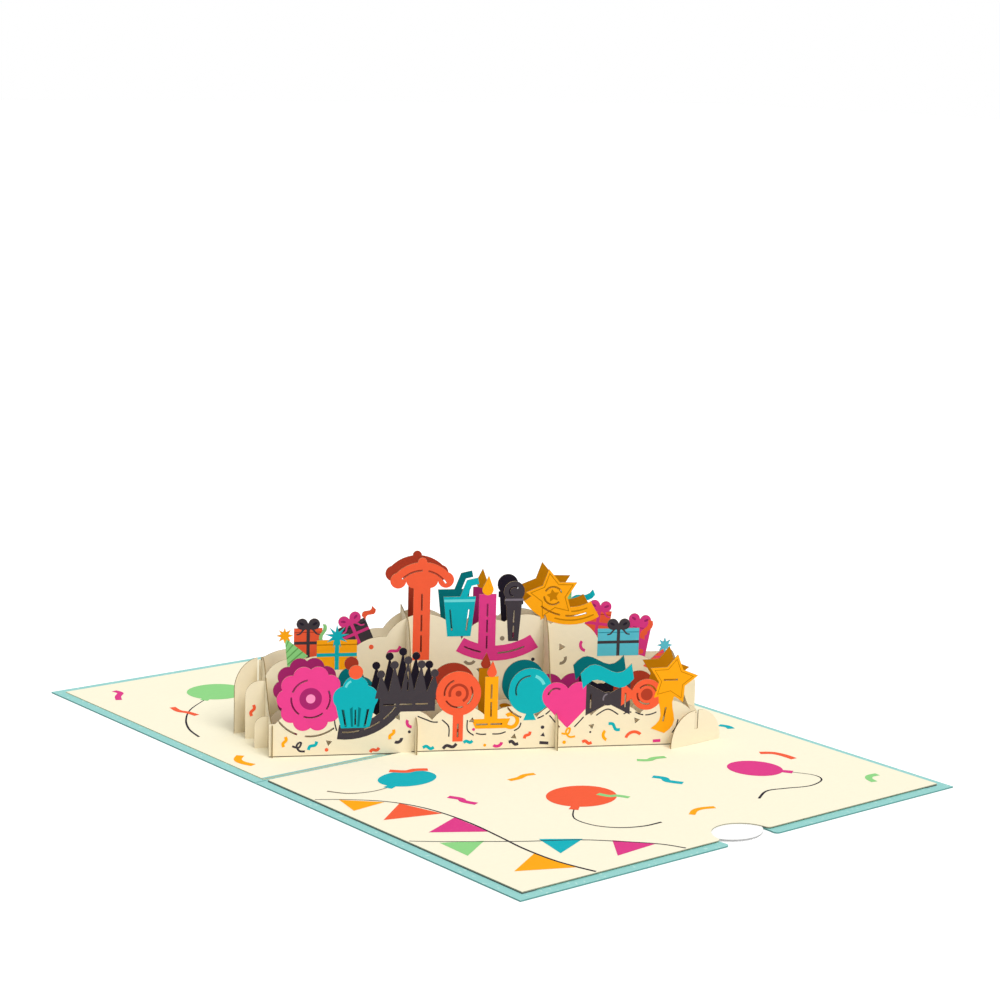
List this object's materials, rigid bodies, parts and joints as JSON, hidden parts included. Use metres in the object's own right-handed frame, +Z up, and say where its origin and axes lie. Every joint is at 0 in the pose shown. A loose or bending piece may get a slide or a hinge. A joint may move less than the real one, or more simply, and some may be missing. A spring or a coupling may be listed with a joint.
{
  "type": "pop-up greeting card",
  "caption": "Open folded party card with a slotted paper lattice of die-cut party shapes standing across its spine, and a slide-out note card in a pocket.",
  "frame": {"origin": "middle of the spine on the surface that the open card lies on", "axes": "+Z up, +Y along the spine towards the card's top edge, +X across the spine towards the panel that holds the note card"},
  "size_m": [0.254, 0.1778, 0.0604],
  "materials": {
    "cover_card": "matt pearly card",
    "liner_paper": "matt printed paper",
    "slat_paper": "matt printed card, die cut",
    "note_paper": "matt white paper",
    "tape": "sticky tissue"
  },
  "bodies": {
    "card": {"cover": "cover_card", "left_liner": "liner_paper", "right_liner": "liner_paper", "near_pocket_tape": "tape", "far_pocket_tape": "tape", "spine_pocket_tape": "tape", "front_slat": "slat_paper", "second_slat": "slat_paper", "third_slat": "slat_paper", "back_slat": "slat_paper", "left_cross_slat": "slat_paper", "left_middle_cross_slat": "slat_paper", "right_middle_cross_slat": "slat_paper", "right_cross_slat": "slat_paper", "left_anchor": "slat_paper", "right_anchor": "slat_paper"},
    "note": {"note_card": "note_paper"}
  },
  "joints": [
    {"name": "note_slide", "type": "slide", "parent": "card", "child": "note", "axis": [1, 0, 0], "range_m": [0, 0.12]}
  ]
}
